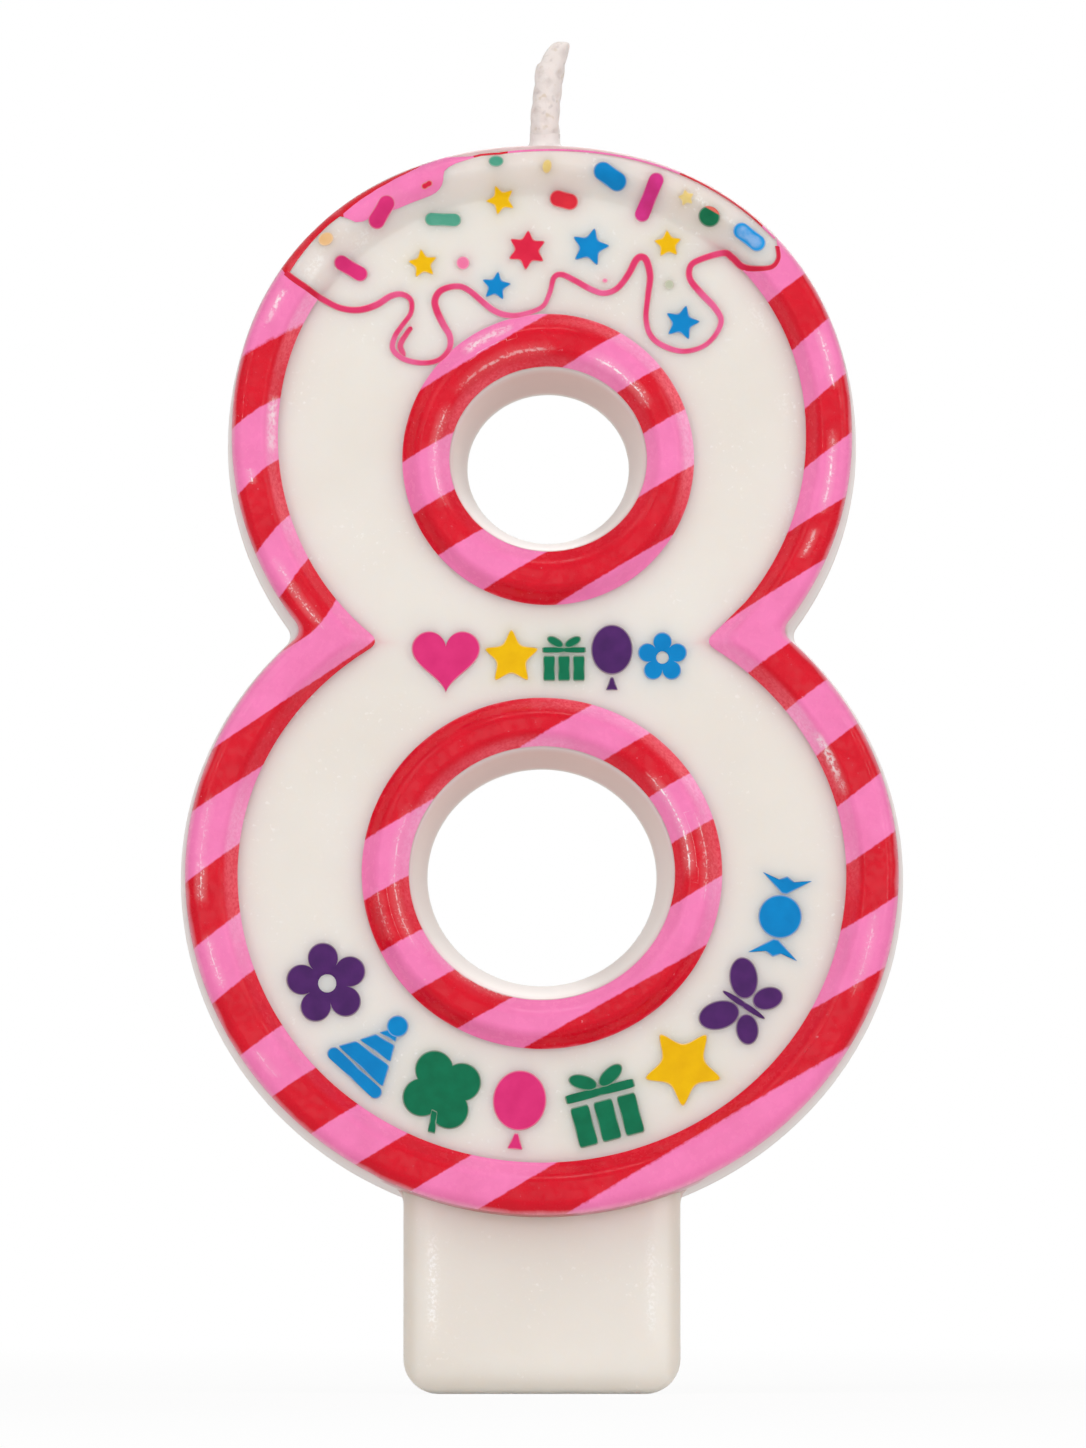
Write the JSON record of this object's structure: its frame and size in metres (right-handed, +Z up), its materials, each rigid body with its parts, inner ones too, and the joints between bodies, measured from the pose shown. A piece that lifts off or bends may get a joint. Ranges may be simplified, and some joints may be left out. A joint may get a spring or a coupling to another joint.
{
  "type": "number candle",
  "caption": "Flat moulded wax candle shaped as a figure eight, with raised striped rims, printed party motifs, a push-in tab below and a cotton wick on top.",
  "frame": {"origin": "on the resting surface under the tab's flat foot, at the middle of the candle's width and depth", "axes": "+Z up along the figure to the wick, +X to the right of someone who looks at the printed front, +Y out of the plain flat back"},
  "size_m": [0.048, 0.012, 0.0893],
  "materials": {
    "paraffin_wax": "cream paraffin wax cast in a smooth mould, slightly translucent, soft sheen",
    "braided_cotton": "braided cotton stiffened with wax",
    "sealing_wax": "a drop of clear cream wax, glossy",
    "striped_transfer": "printed transfer film, candy pink with slanting red stripes, satin",
    "ink_icing_pink": "pink-red printed line, satin",
    "ink_pink": "candy pink ink, satin",
    "ink_magenta": "magenta ink, satin",
    "ink_red": "red ink, satin",
    "ink_yellow": "golden yellow ink, satin",
    "ink_pale_yellow": "thin yellow ink that the wax shows through, satin",
    "ink_green": "dark green ink, satin",
    "ink_teal": "thin green ink that the wax shows through, satin",
    "ink_blue": "bright blue ink, satin",
    "ink_purple": "dark purple ink, satin"
  },
  "bodies": {
    "root": {"wax_body": "paraffin_wax", "wick": "braided_cotton", "wick_seal": "sealing_wax", "print_outer_rim": "striped_transfer", "print_upper_ring": "striped_transfer", "print_lower_ring": "striped_transfer", "print_icing_line": "ink_icing_pink", "star_yellow_left": "ink_yellow", "star_yellow_top": "ink_yellow", "star_yellow_right": "ink_yellow", "star_pale_yellow": "ink_pale_yellow", "star_red": "ink_red", "star_blue_left": "ink_blue", "star_blue_middle": "ink_blue", "star_blue_drip": "ink_blue", "bar_magenta_tilted": "ink_magenta", "bar_magenta_left": "ink_magenta", "bar_magenta_long": "ink_magenta", "bar_teal": "ink_teal", "bar_red": "ink_red", "bar_blue": "ink_blue", "bar_blue_scuffed": "ink_blue", "chip_red": "ink_red", "chip_teal": "ink_teal", "chip_green": "ink_green", "dot_orange": "ink_pale_yellow", "dot_yellow": "ink_pale_yellow", "dot_pink": "ink_pink", "dot_grey_green": "ink_teal", "dot_small_pink": "ink_pink", "row_heart": "ink_magenta", "row_star": "ink_yellow", "row_gift": "ink_green", "row_balloon": "ink_purple", "row_flower": "ink_blue", "arc_flower": "ink_purple", "arc_hat": "ink_blue", "arc_clover": "ink_green", "arc_balloon": "ink_magenta", "arc_gift": "ink_green", "arc_star": "ink_yellow", "arc_butterfly": "ink_purple", "arc_sweet": "ink_blue"}
  },
  "joints": []
}
